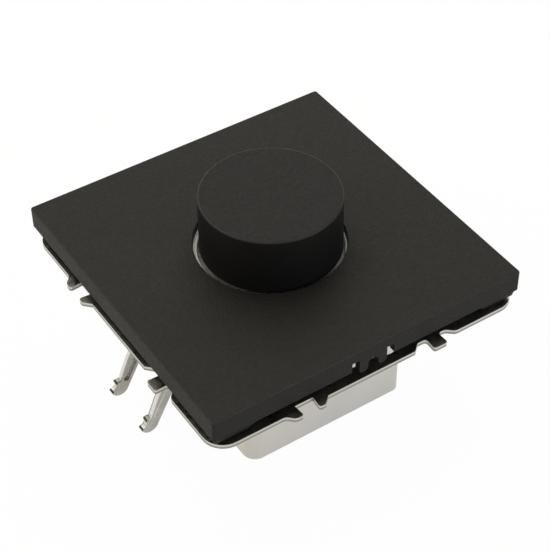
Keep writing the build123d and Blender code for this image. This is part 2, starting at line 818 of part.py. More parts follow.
def claw_leg(side):
    """One prong, hanging straight down: a waisted leg with a round, bitten head and a pressed groove."""
    half = claw_leg_thickness / 2
    head_x = claw_leg_back - claw_head_diameter / 2
    front = claw_leg_back - claw_leg_depth
    outline = Polygon((claw_leg_back, 0), (front, 0), (front, -claw_waist_start),
                      (claw_leg_back - claw_waist, -claw_leg_length), (claw_leg_back, -claw_leg_length),
                      align=None)
    outline += Pos(head_x, -claw_leg_length) * Circle(claw_head_diameter / 2)
    outline -= Pos(head_x - claw_bite_offset, -claw_leg_length) * Circle(claw_bite / 2)
    teeth = outline.vertices().sort_by(Axis.X)[:2]
    outline = fillet(teeth, claw_tooth_round)
    leg = extrude(Plane.XZ * outline, half, both=True)
    leg = fillet(leg.faces().filter_by(Axis.Y).edges(), claw_leg_round)
    leg_middle = claw_leg_back - claw_leg_depth / 2
    groove_end = claw_leg_length - claw_head_diameter / 2
    groove = Pos(leg_middle, -(claw_groove_start + groove_end) / 2) * Rot(0, 0, 90)
    groove = groove * SlotOverall(groove_end - claw_groove_start, claw_groove_width)
    groove = Pos(0, -side * half, 0) * extrude(Plane.XZ * groove, claw_groove_depth, both=True)
    return leg - groove


def claw():
    """The left claw: cross bar with trunnions, a forked arm that the nut lifts, and two prongs."""
    half_sheet = claw_sheet / 2
    bar = block(-claw_bar / 2, claw_bar / 2, -claw_half_span, claw_half_span, -half_sheet, half_sheet)
    tips = lug_inner + frame_sheet + run_gap
    bar += block(-claw_trunnion / 2, claw_trunnion / 2, -tips, tips, -half_sheet, half_sheet)
    arm = block(-claw_arm_reach, 0, -claw_arm_width / 2, claw_arm_width / 2, -half_sheet, half_sheet)
    arm -= disc(claw_screw_hole, -half_sheet, half_sheet, -claw_screw_reach, 0)
    bar += arm - block(-claw_arm_reach, -claw_screw_reach, -claw_screw_hole / 2, claw_screw_hole / 2,
                       -half_sheet, half_sheet)
    below = block(-claw_leg_length, claw_leg_length, -claw_half_span, claw_half_span,
                  -2 * claw_leg_length, half_sheet)
    for side in (-1, 1):
        bar += Pos(0, side * claw_leg_offset, 0) * (Rot(0, claw_spread, 0) * claw_leg(side) & below)
    return Pos(pivot_x, 0, pivot_z) * bar


def claw_screw():
    """The slotted cheese-head screw that draws the nut towards the frame."""
    under_head = frame_top + claw_screw_seat
    head_top = under_head + claw_screw_head_height
    head = disc(claw_screw_head, under_head, head_top)
    head = fillet(head.edges().sort_by(Axis.Z)[-1], claw_screw_head_round)
    head -= block(-claw_screw_head, claw_screw_head, -claw_screw_slot / 2, claw_screw_slot / 2,
                  head_top - claw_screw_slot_depth, head_top)
    shank = disc(claw_screw_shank, under_head - claw_screw_length, under_head)
    return Pos(claw_screw_x, 0, 0) * (head + shank)


def claw_nut():
    """The square nut under the claw's arm."""
    half = claw_nut_side / 2
    nut = block(-half, half, -half, half, claw_nut_top - claw_nut_height, claw_nut_top)
    bore = disc(claw_screw_shank + 2 * slide_fit, claw_nut_top - claw_nut_height, claw_nut_top)
    return Pos(claw_screw_x, 0, 0) * (nut - bore)


pieces = {
    "support_frame": support_frame(),
    "housing_base": housing_base(),
    "housing_lid": housing_lid(),
    "housing_screws": housing_screws(),
    "cover_plate": cover_plate(),
    "control_knob": control_knob(),
    "knob_clip": knob_clip(),
    "spindle": spindle(),
    "control_bush": control_bush(),
    "bush_washer": bush_washer(),
    "bush_nut": bush_nut(),
    "control_case": control_case(),
    "resistance_wafer": resistance_wafer(),
    "wiper_rotor": wiper_rotor(),
    "wiper_contact": wiper_contact(),
    "circuit_board": circuit_board(),
    "switch_case": switch_case(),
    "switch_plunger": switch_plunger(),
    "contact_bridge": contact_bridge(),
    "fixed_contacts": fixed_contacts(),
    "return_spring": return_spring(),
    "choke_core": choke_core(),
    "choke_winding": choke_winding(),
    "film_capacitor": film_capacitor(),
    "buffer_capacitor": buffer_capacitor(),
    "heat_spreader": heat_spreader(),
    "power_transistors": power_transistors(),
    "terminal_clamps": terminal_clamps(),
    "terminal_screws": terminal_screws(),
    "claw_left": claw(),
    "claw_right": opposite(claw()),
    "claw_screw_left": claw_screw(),
    "claw_screw_right": opposite(claw_screw()),
    "claw_nut_left": claw_nut(),
    "claw_nut_right": opposite(claw_nut()),
}

os.makedirs("parts", exist_ok=True)
for name, piece in pieces.items():
    export_step(piece, f"parts/{name}.step")
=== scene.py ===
import math
import bpy
from mathutils import Matrix, Vector


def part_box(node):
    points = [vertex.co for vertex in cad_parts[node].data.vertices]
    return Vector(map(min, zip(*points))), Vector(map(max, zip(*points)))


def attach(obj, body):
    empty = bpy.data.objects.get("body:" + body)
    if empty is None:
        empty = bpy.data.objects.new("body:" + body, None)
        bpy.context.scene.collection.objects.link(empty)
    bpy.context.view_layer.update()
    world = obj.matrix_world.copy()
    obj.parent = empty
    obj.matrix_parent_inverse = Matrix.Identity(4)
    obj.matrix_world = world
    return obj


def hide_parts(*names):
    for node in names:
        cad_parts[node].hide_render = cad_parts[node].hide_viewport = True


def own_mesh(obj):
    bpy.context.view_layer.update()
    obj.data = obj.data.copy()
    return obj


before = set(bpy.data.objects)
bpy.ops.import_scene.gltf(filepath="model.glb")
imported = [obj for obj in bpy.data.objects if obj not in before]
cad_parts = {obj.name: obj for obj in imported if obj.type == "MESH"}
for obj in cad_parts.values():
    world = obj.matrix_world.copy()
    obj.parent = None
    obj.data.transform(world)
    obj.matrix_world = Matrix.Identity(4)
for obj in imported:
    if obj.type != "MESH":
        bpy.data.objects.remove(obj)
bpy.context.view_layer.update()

# Housing base: an open box behind the frame, moulded in pale grey glass-filled polyamide.
# Its tool is smooth, so the skin is satin with faint flow clouds, and the glass shows as a fine grain.
# Every pattern's noise lies mostly between the two values below.
noise_low = 0.3
noise_high = 0.7


def linear(colour):
    """An sRGB hex colour as linear red, green, blue and alpha."""
    channels = [int(colour[i:i + 2], 16) / 255 for i in (1, 3, 5)]
    return [c / 12.92 if c <= 0.04045 else ((c + 0.055) / 1.055) ** 2.4 for c in channels] + [1.0]


def add(tree, kind, inputs, **settings):
    """Adds a node with its settings, then links or fills its inputs."""
    node = tree.nodes.new(kind)
    for name, value in settings.items():
        setattr(node, name, value)
    for socket, value in inputs.items():
        if isinstance(value, bpy.types.NodeSocket):
            tree.links.new(value, node.inputs[socket])
        else:
            node.inputs[socket].default_value = value
    return node


def blank(name):
    """A new finish with an empty tree, and the node that gives it the piece's own coordinates."""
    finish = bpy.data.materials.new(name)
    finish.use_nodes = True
    finish.node_tree.nodes.clear()
    return finish, finish.node_tree, add(finish.node_tree, "ShaderNodeTexCoord", {})


def moulded(name, dark, light, rough, grain_mm, relief_mm, cloud_mm=6.0, ior=1.5, wear_and_highlight=None):
    """A moulded plastic: two close tones in soft clouds, and a skin grain that breaks the gloss.

    On edges that are neither upright nor level it is smoother where hands rub it, and paler: partly wear,
    partly a painted highlight.
    """
    gloss_spread = 0.06
    edge_slope = 0.66
    edge_band = 0.3
    edge_smoothing = -0.12
    finish, tree, piece = blank(name)
    place = piece.outputs["Object"]
    cloud = add(tree, "ShaderNodeTexNoise", {"Vector": place, "Scale": 1000 / cloud_mm, "Detail": 3.0})
    grain = add(tree, "ShaderNodeTexNoise", {"Vector": place, "Scale": 1000 / grain_mm, "Detail": 2.0})
    tone = add(tree, "ShaderNodeMix", {0: cloud.outputs[0], 6: linear(dark), 7: linear(light)},
               data_type="RGBA").outputs[2]
    gloss = add(tree, "ShaderNodeMapRange",
                {"Value": grain.outputs[0], "From Min": noise_low, "From Max": noise_high,
                 "To Min": rough - gloss_spread, "To Max": rough + gloss_spread}).outputs[0]
    # The edges' paler colour is partly wear and partly a painted highlight.
    if wear_and_highlight:
        level = add(tree, "ShaderNodeSeparateXYZ", {0: piece.outputs["Normal"]}).outputs["Z"]
        level = add(tree, "ShaderNodeMath", {0: level}, operation="ABSOLUTE").outputs[0]
        edge = add(tree, "ShaderNodeMath", {0: level, 1: edge_slope, 2: edge_band},
                   operation="COMPARE").outputs[0]
        tone = add(tree, "ShaderNodeMix", {0: edge, 6: tone, 7: linear(wear_and_highlight)},
                   data_type="RGBA").outputs[2]
        gloss = add(tree, "ShaderNodeMath", {0: edge, 1: edge_smoothing, 2: gloss},
                    operation="MULTIPLY_ADD").outputs[0]
    relief = add(tree, "ShaderNodeBump", {"Height": grain.outputs[0], "Distance": relief_mm / 1000})
    shader = add(tree, "ShaderNodeBsdfPrincipled", {"Base Color": tone, "Roughness": gloss,
                                                    "Normal": relief.outputs[0], "IOR": ior})
    add(tree, "ShaderNodeOutputMaterial", {"Surface": shader.outputs[0]})
    return finish


def dress(finish, *names):
    """Gives a CAD node's own material slots a finish."""
    for name in names:
        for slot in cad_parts[name].material_slots:
            slot.material = finish


dress(moulded("polyamide_pale_grey", "#e7e5df", "#f0eeea", 0.45, 0.3, 0.006), "housing_base")

# Circuit board: glass-epoxy laminate under green solder resist, resting on ledges in the housing.
# The weave of the glass cloth shows through the resist as a small square pattern.
weave_mm = 0.4
weave_relief_mm = 0.01
smear_mm = 10 / 3
resist_rough = (0.25, 0.45)
resist, tree, piece = blank("solder_resist_on_glass_cloth")
weave = add(tree, "ShaderNodeTexChecker", {"Vector": piece.outputs["Object"], "Scale": 1000 / weave_mm,
                                           "Color1": linear("#245430"), "Color2": linear("#2c633a")})
cloth = add(tree, "ShaderNodeBump", {"Height": weave.outputs["Fac"], "Distance": weave_relief_mm / 1000})
smear = add(tree, "ShaderNodeTexNoise", {"Vector": piece.outputs["Object"], "Scale": 1000 / smear_mm,
                                         "Detail": 2.0})
shine = add(tree, "ShaderNodeMapRange", {"Value": smear.outputs[0], "To Min": resist_rough[0],
                                         "To Max": resist_rough[1]})
shader = add(tree, "ShaderNodeBsdfPrincipled", {"Base Color": weave.outputs["Color"], "IOR": 1.55,
                                                "Roughness": shine.outputs[0], "Normal": cloth.outputs[0]})
add(tree, "ShaderNodeOutputMaterial", {"Surface": shader.outputs[0]})
dress(resist, "circuit_board")

# Board components: potted film box, sleeved can, moulded power transistors on an aluminium spreader.
# They hang under the board in the housing. Each has the plain finish of its kind.
dress(moulded("epoxy_box_blue", "#2a3f7c", "#334b91", 0.3, 0.4, 0.004), "film_capacitor")
dress(moulded("shrink_sleeve_black", "#1e1e21", "#2b2b2f", 0.3, 0.5, 0.004), "buffer_capacitor")
dress(moulded("epoxy_moulding_black", "#232323", "#303030", 0.6, 0.12, 0.006), "power_transistors")


def rolled(name, dull, bright, rough, along, line_mm=0.15, relief_mm=0.002):
    """A rolled or drawn metal: fine lines along one direction in its tone, its gloss and its relief."""
    gloss_spread = 0.07
    line_stretch = 12
    finish, tree, piece = blank(name)
    stretch = [1000 / line_mm] * 3
    stretch["XYZ".index(along)] /= line_stretch
    run = add(tree, "ShaderNodeMapping", {"Vector": piece.outputs["Object"], "Scale": stretch})
    lines = add(tree, "ShaderNodeTexNoise", {"Vector": run.outputs[0], "Scale": 1.0, "Detail": 2.0})
    tone = add(tree, "ShaderNodeMix", {0: lines.outputs[0], 6: linear(dull), 7: linear(bright)},
               data_type="RGBA")
    gloss = add(tree, "ShaderNodeMapRange",
                {"Value": lines.outputs[0], "From Min": noise_low, "From Max": noise_high,
                 "To Min": rough - gloss_spread, "To Max": rough + gloss_spread})
    relief = add(tree, "ShaderNodeBump", {"Height": lines.outputs[0], "Distance": relief_mm / 1000})
    shader = add(tree, "ShaderNodeBsdfPrincipled",
                 {"Base Color": tone.outputs[2], "Roughness": gloss.outputs[0],
                  "Normal": relief.outputs[0], "Metallic": 1.0})
    add(tree, "ShaderNodeOutputMaterial", {"Surface": shader.outputs[0]})
    return finish


dress(rolled("mill_aluminium", "#c4c5c7", "#d9dadb", 0.35, "Z"), "heat_spreader")

# Choke: a pressed iron-powder ring wound with enamelled copper wire, one layer with a gap at its ends.
# The wire is wound tight on the core, so it follows the ring's square section with rounded corners.
winding_turns = 13
winding_gap = math.radians(60)
wire_radius = 0.00045
core_bore_radius = 0.0028
turn_squareness = 12.0
points_a_turn = 24
wire_sides = 10
crease = math.radians(40)
dress(moulded("iron_powder_paint", "#4a4a46", "#5a5a55", 0.55, 0.2, 0.008), "choke_core")


def nodes_with(name, **sizes):
    """A new geometry tree with named inputs, and its input node."""
    tree = bpy.data.node_groups.new(name, "GeometryNodeTree")
    kinds = {"Geometry": "NodeSocketGeometry", "Finish": "NodeSocketMaterial"}
    for label in ["Geometry", *sizes, "Finish"]:
        kind = kinds.get(label) or ("NodeSocketInt" if isinstance(sizes[label], int) else "NodeSocketFloat")
        tree.interface.new_socket(label, in_out="INPUT", socket_type=kind)
    tree.interface.new_socket("Geometry", in_out="OUTPUT", socket_type="NodeSocketGeometry")
    return tree, tree.nodes.new("NodeGroupInput").outputs


def close_tree(tree, given, instance, turn):
    """Ends a tree: the shape stands on each point, is made real and gets its finish."""
    stand = add(tree, "GeometryNodeInstanceOnPoints", {"Points": given["Geometry"], "Instance": instance})
    tilt = add(tree, "GeometryNodeRotateInstances", {"Instances": stand.outputs[0], "Rotation": turn})
    real = add(tree, "GeometryNodeRealizeInstances", {"Geometry": tilt.outputs[0]})
    dressed = add(tree, "GeometryNodeSetMaterial", {"Geometry": real.outputs[0],
                                                    "Material": given["Finish"]})
    add(tree, "NodeGroupOutput", {0: dressed.outputs[0]})


def sums(tree, operation, *values):
    """One result of a chain of the same sum."""
    total = values[0]
    for value in values[1:]:
        total = add(tree, "ShaderNodeMath", {0: total, 1: value}, operation=operation).outputs[0]
    return total


def grown(name, tree, points, finish, sizes):
    """Runs a tree on its points and keeps the result as a plain mesh."""
    seeds = bpy.data.meshes.new(name)
    seeds.from_pydata(points, [], [])
    piece = bpy.data.objects.new(name, seeds)
    bpy.context.scene.collection.objects.link(piece)
    maker = piece.modifiers.new("maker", "NODES")
    maker.node_group = tree
    values = {**sizes, "Finish": finish}
    for item in tree.interface.items_tree:
        if item.in_out == "INPUT" and item.name in values:
            maker[item.identifier] = values[item.name]
    graph = bpy.context.evaluated_depsgraph_get()
    mesh = bpy.data.meshes.new_from_object(piece.evaluated_get(graph))
    piece.modifiers.remove(maker)
    piece.data = mesh
    mesh.shade_smooth()
    mesh.set_sharp_from_angle(angle=crease)
    return piece


core_low, core_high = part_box("choke_core")
core_middle = (Vector(core_low) + Vector(core_high)) / 2
core_radius = (core_high[0] - core_low[0]) / 2
winding_sizes = {"Turns": winding_turns, "Gap": winding_gap, "Wire": wire_radius,
                 "Ring": (core_radius + core_bore_radius) / 2,
                 "Width": (core_radius - core_bore_radius) / 2 + wire_radius,
                 "Height": (core_high[2] - core_low[2]) / 2 + wire_radius}
tree, given = nodes_with("toroid_winding", **winding_sizes)
count = sums(tree, "MULTIPLY", given["Turns"], points_a_turn)
wire = add(tree, "GeometryNodeCurvePrimitiveLine", {"End": (1, 0, 0)})
wire = add(tree, "GeometryNodeResampleCurve", {"Curve": wire.outputs[0], "Count": count})
along = add(tree, "GeometryNodeSplineParameter", {}).outputs["Factor"]
half_gap = sums(tree, "MULTIPLY", given["Gap"], 0.5)
swept = sums(tree, "MULTIPLY", sums(tree, "SUBTRACT", 2 * math.pi, given["Gap"]), along)
round_ring = sums(tree, "ADD", half_gap, swept)
round_wire = sums(tree, "ADD", sums(tree, "MULTIPLY", given["Turns"], 2 * math.pi, along), math.pi / 2)
across = add(tree, "ShaderNodeMath", {0: round_wire}, operation="COSINE").outputs[0]
upward = add(tree, "ShaderNodeMath", {0: round_wire}, operation="SINE").outputs[0]
powers = [sums(tree, "POWER", add(tree, "ShaderNodeMath", {0: part}, operation="ABSOLUTE").outputs[0],
               turn_squareness) for part in (across, upward)]
reach = sums(tree, "POWER", sums(tree, "ADD", *powers), -1 / turn_squareness)
radius = sums(tree, "ADD", given["Ring"], sums(tree, "MULTIPLY", across, reach, given["Width"]))
level = sums(tree, "MULTIPLY", upward, reach, given["Height"])
east = add(tree, "ShaderNodeMath", {0: round_ring}, operation="COSINE").outputs[0]
north = add(tree, "ShaderNodeMath", {0: round_ring}, operation="SINE").outputs[0]
place = add(tree, "ShaderNodeCombineXYZ", {"X": sums(tree, "MULTIPLY", radius, east),
                                           "Y": sums(tree, "MULTIPLY", radius, north), "Z": level})
wire = add(tree, "GeometryNodeSetPosition", {"Geometry": wire.outputs[0], "Position": place.outputs[0]})
section = add(tree, "GeometryNodeCurvePrimitiveCircle", {"Resolution": wire_sides, "Radius": given["Wire"]})
wire = add(tree, "GeometryNodeCurveToMesh", {"Curve": wire.outputs[0], "Profile Curve": section.outputs[0],
                                             "Fill Caps": True})
close_tree(tree, given, wire.outputs[0], (0, 0, 0))
enamelled_copper = rolled("enamelled_copper", "#a8582f", "#c9743f", 0.25, "Z")
winding = grown("choke_wire", tree, [core_middle], enamelled_copper, winding_sizes)
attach(winding, "insert")
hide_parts("choke_winding")

# Terminals: folded brass cages under the board, each with a screw that is reached through the far wall.
# A wire goes in through a bore in the housing's floor and is clamped by the screw's end.
terminal_brass = rolled("rolled_brass", "#a8863f", "#cfae63", 0.3, "Z")
dress(terminal_brass, "terminal_clamps")
zinc_plate = rolled("zinc_plated_steel", "#b3b4b4", "#d2d3d2", 0.3, "Z")
terminal_screw_sizes = {"Head": 0.0020, "Head Height": 0.0018, "Rounding": 0.0003, "Shank": 0.0013,
                        "Length": 0.0016, "Pitch": 0.0005, "Depth": 0.00025, "Slots": 1,
                        "Slot Width": 0.0007, "Slot Length": 0.006, "Slot Depth": 0.0009,
                        "Turn": -math.pi / 2}

# A screw stands on the seat of its head: a rounded head above, a threaded shank below, one or two slots.
steps_a_pitch = 7
shank_sides = 28
head_sides = 48
head_steps = 24
head_rings = 3
tree, given = nodes_with("machine_screw", **terminal_screw_sizes)
thread_steps = sums(tree, "MULTIPLY", sums(tree, "DIVIDE", given["Length"], given["Pitch"]), steps_a_pitch)
shank = add(tree, "GeometryNodeMeshCylinder", {"Vertices": shank_sides, "Side Segments": thread_steps,
                                               "Radius": given["Shank"], "Depth": given["Length"]})
spot = add(tree, "GeometryNodeInputPosition", {}).outputs[0]
parts = add(tree, "ShaderNodeSeparateXYZ", {0: spot}).outputs
bearing = add(tree, "ShaderNodeMath", {0: parts["Y"], 1: parts["X"]}, operation="ARCTAN2").outputs[0]
climb = sums(tree, "SUBTRACT", sums(tree, "DIVIDE", parts["Z"], given["Pitch"]),
             sums(tree, "DIVIDE", bearing, 2 * math.pi))
tooth = add(tree, "ShaderNodeMath", {0: climb, 1: 0.5}, operation="PINGPONG").outputs[0]
from_end = sums(tree, "SUBTRACT", sums(tree, "MULTIPLY", given["Length"], 0.5),
                add(tree, "ShaderNodeMath", {0: parts["Z"]}, operation="ABSOLUTE").outputs[0])
full = add(tree, "ShaderNodeMapRange", {"Value": from_end, "From Min": 0.0, "From Max": given["Pitch"],
                                        "To Min": 0.0, "To Max": 2.0}).outputs[0]
cut = sums(tree, "SUBTRACT", 1.0, sums(tree, "MULTIPLY", tooth, full))
narrow = sums(tree, "SUBTRACT", 1.0, sums(tree, "MULTIPLY", cut,
                                          sums(tree, "DIVIDE", given["Depth"], given["Shank"])))
squeeze = add(tree, "ShaderNodeCombineXYZ", {"X": narrow, "Y": narrow, "Z": 1.0}).outputs[0]
threaded = add(tree, "ShaderNodeVectorMath", {0: spot, 1: squeeze}, operation="MULTIPLY").outputs[0]
shank = add(tree, "GeometryNodeSetPosition", {"Geometry": shank.outputs[0], "Position": threaded})
sink = add(tree, "ShaderNodeCombineXYZ", {"Z": sums(tree, "MULTIPLY", given["Length"], -0.5)}).outputs[0]
shank = add(tree, "GeometryNodeTransform", {"Geometry": shank.outputs[0], "Translation": sink})

head = add(tree, "GeometryNodeMeshCylinder", {"Vertices": head_sides, "Side Segments": head_steps,
                                              "Fill Segments": head_rings, "Radius": given["Head"],
                                              "Depth": given["Head Height"]})
half_head = sums(tree, "MULTIPLY", given["Head Height"], 0.5)
into_round = sums(tree, "SUBTRACT", parts["Z"], sums(tree, "SUBTRACT", half_head, given["Rounding"]))
into_round = sums(tree, "DIVIDE", sums(tree, "MAXIMUM", into_round, 0.0), given["Rounding"])
fall = add(tree, "ShaderNodeMath", {0: sums(tree, "SUBTRACT", 1.0, sums(tree, "POWER", into_round, 2.0))},
           operation="SQRT").outputs[0]
drawn_in = sums(tree, "MULTIPLY", sums(tree, "SUBTRACT", 1.0, fall),
                sums(tree, "DIVIDE", given["Rounding"], given["Head"]))
narrow = sums(tree, "SUBTRACT", 1.0, drawn_in)
squeeze = add(tree, "ShaderNodeCombineXYZ", {"X": narrow, "Y": narrow, "Z": 1.0}).outputs[0]
rounded = add(tree, "ShaderNodeVectorMath", {0: spot, 1: squeeze}, operation="MULTIPLY").outputs[0]
head = add(tree, "GeometryNodeSetPosition", {"Geometry": head.outputs[0], "Position": rounded})
lift = add(tree, "ShaderNodeCombineXYZ", {"Z": half_head}).outputs[0]
head = add(tree, "GeometryNodeTransform", {"Geometry": head.outputs[0], "Translation": lift})

blade_size = add(tree, "ShaderNodeCombineXYZ", {"X": given["Slot Length"], "Y": given["Slot Width"],
                                                "Z": sums(tree, "MULTIPLY", given["Slot Depth"], 2.0)})
blade = add(tree, "GeometryNodeMeshCube", {"Size": blade_size.outputs[0]})
blade_places = add(tree, "GeometryNodeMeshLine", {"Count": given["Slots"], "Offset": (0, 0, 0)})
index = add(tree, "GeometryNodeInputIndex", {}).outputs[0]
spread = add(tree, "ShaderNodeCombineXYZ", {"Z": sums(tree, "MULTIPLY", index, math.pi / 2)}).outputs[0]
blades = add(tree, "GeometryNodeInstanceOnPoints", {"Points": blade_places.outputs[0],
                                                    "Instance": blade.outputs[0], "Rotation": spread})
blades = add(tree, "GeometryNodeRealizeInstances", {"Geometry": blades.outputs[0]})
top = add(tree, "ShaderNodeCombineXYZ", {"Z": given["Head Height"]}).outputs[0]
blades = add(tree, "GeometryNodeTransform", {"Geometry": blades.outputs[0], "Translation": top})
slotted = add(tree, "GeometryNodeMeshBoolean", {"Mesh 1": head.outputs[0], "Mesh 2": blades.outputs[0],
                                                "Self Intersection": True},
              operation="DIFFERENCE", solver="EXACT")
body = add(tree, "GeometryNodeMeshBoolean", {"Mesh 2": slotted.outputs[0]},
           operation="UNION", solver="EXACT")
tree.links.new(shank.outputs[0], body.inputs["Mesh 2"])
turn = add(tree, "ShaderNodeCombineXYZ", {"X": given["Turn"]}).outputs[0]
close_tree(tree, given, body.outputs[0], turn)
machine_screw = tree

low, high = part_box("terminal_screws")
terminal_seat = high[1] - terminal_screw_sizes["Head Height"]
terminal_level = (low[2] + high[2]) / 2
terminal_reach = (high[0] - low[0]) / 2 - terminal_screw_sizes["Head"]
terminal_places = [(side * terminal_reach, terminal_seat, terminal_level) for side in (-1, 0, 1)]
terminal_screws = grown("slotted_terminal_screws", machine_screw, terminal_places, zinc_plate,
                        terminal_screw_sizes)
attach(terminal_screws, "insert")
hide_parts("terminal_screws")

# Push switch under the board: a moulded cup with a plunger, a bridge and two fixed blades.
# The plunger is pushed by the spindle and lifted again by a drawn steel spring.
dress(moulded("phenolic_dark_grey", "#2c2c2c", "#3a3a39", 0.5, 0.2, 0.006), "switch_case", "control_case")
dress(moulded("acetal_white", "#d3d1c9", "#dfddd6", 0.4, 0.3, 0.003), "switch_plunger", "wiper_rotor")
dress(rolled("contact_copper", "#a0653c", "#c98a58", 0.3, "X"), "contact_bridge", "fixed_contacts")
spring_steel = rolled("drawn_spring_steel", "#77787a", "#9c9d9e", 0.3, "X")
dress(spring_steel, "knob_clip", "wiper_contact")

# The return spring is wound from round wire in open turns; the real one shortens as the plunger goes down,
# this one is one fixed mesh.
low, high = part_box("return_spring")
spring_wire = 0.0003
spring_steps_a_turn = 40
spring_wire_sides = 12
spring_sizes = {"Turns": 4.0, "Wire": spring_wire, "Coil": (high[0] - low[0]) / 2 - spring_wire,
                "Rise": high[2] - low[2] - 2 * spring_wire}
tree, given = nodes_with("coil_spring", **spring_sizes)
coil = add(tree, "GeometryNodeCurveSpiral", {"Resolution": spring_steps_a_turn, "Rotations": given["Turns"],
                                             "Start Radius": given["Coil"], "End Radius": given["Coil"],
                                             "Height": given["Rise"]})
section = add(tree, "GeometryNodeCurvePrimitiveCircle", {"Resolution": spring_wire_sides,
                                                         "Radius": given["Wire"]})
coil = add(tree, "GeometryNodeCurveToMesh", {"Curve": coil.outputs[0], "Profile Curve": section.outputs[0],
                                             "Fill Caps": True})
close_tree(tree, given, coil.outputs[0], (0, 0, 0))
spring = grown("wound_return_spring", tree, [(0, 0, low[2] + spring_wire)], spring_steel, spring_sizes)
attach(spring, "insert")
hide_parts("return_spring")
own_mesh(spring)

# Potentiometer: a moulded cup with a laminate wafer and a rotor, hung from the lid by its brass bush.
# A plated washer and hexagon nut clamp it, and the spindle slides through it to the switch.
dress(moulded("paper_laminate_brown", "#5a3a20", "#704a2b", 0.5, 0.5, 0.006), "resistance_wafer")
dress(terminal_brass, "control_bush", "spindle")
dress(zinc_plate, "bush_washer", "bush_nut")

# Support frame: a square blank punched from galvanised steel sheet, clamped between lid and housing.
# Punching leaves each cut edge with a bright sheared band, and below it a dull torn one.


def stamped(name, across, face, sheared, torn, torn_mm, spangle_mm, rough):
    """Punched sheet metal: spangled faces, and edges that are sheared bright, then torn dull.

    The sheet's thickness lies across one axis, and the torn band lies between two levels on it.
    """
    face_slope = 0.8
    scratch_mm = 2 / 3
    scratch_relief_mm = 0.003
    gloss_spread = 0.08
    torn_roughening = 0.2
    finish, tree, piece = blank(name)
    place = piece.outputs["Object"]
    level = add(tree, "ShaderNodeSeparateXYZ", {0: place}).outputs[across]
    level = add(tree, "ShaderNodeMath", {0: level}, operation="ABSOLUTE").outputs[0]
    middle = sum(torn_mm) / 2000
    tear = add(tree, "ShaderNodeMath", {0: level, 1: middle, 2: torn_mm[1] / 1000 - middle},
               operation="COMPARE").outputs[0]
    facing = add(tree, "ShaderNodeSeparateXYZ", {0: piece.outputs["Normal"]}).outputs[across]
    facing = add(tree, "ShaderNodeMath", {0: facing}, operation="ABSOLUTE").outputs[0]
    flat = add(tree, "ShaderNodeMath", {0: facing, 1: face_slope}, operation="GREATER_THAN").outputs[0]
    spangle = add(tree, "ShaderNodeTexVoronoi", {"Vector": place, "Scale": 1000 / spangle_mm})
    grey = add(tree, "ShaderNodeSeparateXYZ", {0: spangle.outputs["Color"]}).outputs["X"]
    scratch = add(tree, "ShaderNodeTexNoise", {"Vector": place, "Scale": 1000 / scratch_mm,
                                               "Detail": 2.0}).outputs[0]
    sheet = add(tree, "ShaderNodeMix", {0: grey, 6: linear(face[0]), 7: linear(face[1])}, data_type="RGBA")
    cut = add(tree, "ShaderNodeMix", {0: tear, 6: linear(sheared), 7: linear(torn)}, data_type="RGBA")
    tone = add(tree, "ShaderNodeMix", {0: flat, 6: cut.outputs[2], 7: sheet.outputs[2]}, data_type="RGBA")
    gloss = add(tree, "ShaderNodeMapRange",
                {"Value": scratch, "From Min": noise_low, "From Max": noise_high,
                 "To Min": rough - gloss_spread, "To Max": rough + gloss_spread}).outputs[0]
    gloss = add(tree, "ShaderNodeMath", {0: tear, 1: torn_roughening, 2: gloss},
                operation="MULTIPLY_ADD").outputs[0]
    relief = add(tree, "ShaderNodeBump", {"Height": scratch, "Distance": scratch_relief_mm / 1000})
    shader = add(tree, "ShaderNodeBsdfPrincipled", {"Base Color": tone.outputs[2], "Roughness": gloss,
                                                    "Normal": relief.outputs[0], "Metallic": 1.0})
    add(tree, "ShaderNodeOutputMaterial", {"Surface": shader.outputs[0]})
    return finish


dress(stamped("galvanised_sheet", "Z", ("#a8a7a1", "#c0bfb9"), "#cfcdc7", "#a19f99", (-0.1, 0.5),
              2.5, 0.35), "support_frame")

# Spreading claws: stamped from bright plated steel, each hung in two ears of the frame.
# A nut on the claw's screw lifts its forked arm, which swings the two prongs out against the box.
# Each prong has a bead pressed out along it, and its teeth are painted dark as shade on their ends.
claw_steel = stamped("bright_plated_steel", "Y", ("#b4b2ad", "#c4c2bd"), "#e8e7e4", "#b4b2ad", (5.25, 5.7),
                     2.0, 0.36)
claw_pivot = (0.0235, 0.0015)
claw_spread = math.radians(28)
teeth_from = -0.00165
inward = (-math.cos(claw_spread), 0, math.sin(claw_spread))
downward = (math.sin(claw_spread), 0, math.cos(claw_spread))
tree = claw_steel.node_tree
shader = tree.nodes["Principled BSDF"]
place = add(tree, "ShaderNodeTexCoord", {}).outputs["Object"]
either_side = add(tree, "ShaderNodeVectorMath", {0: place}, operation="ABSOLUTE").outputs[0]
from_pivot = add(tree, "ShaderNodeVectorMath", {0: either_side, 1: (claw_pivot[0], 0, claw_pivot[1])},
                 operation="SUBTRACT").outputs[0]
across_leg = add(tree, "ShaderNodeVectorMath", {0: from_pivot, 1: inward},
                 operation="DOT_PRODUCT").outputs["Value"]
# Past this line the teeth are painted dark, as painted shade on their end faces.
tooth = add(tree, "ShaderNodeMath", {0: across_leg, 1: teeth_from}, operation="LESS_THAN").outputs[0]
painted_teeth_shade = add(tree, "ShaderNodeMix", {0: tooth, 6: shader.inputs["Base Color"].links[0].from_socket,
                                   7: linear("#4a4844")}, data_type="RGBA")
tree.links.new(painted_teeth_shade.outputs[2], shader.inputs["Base Color"])
dress(claw_steel, "claw_left", "claw_right")

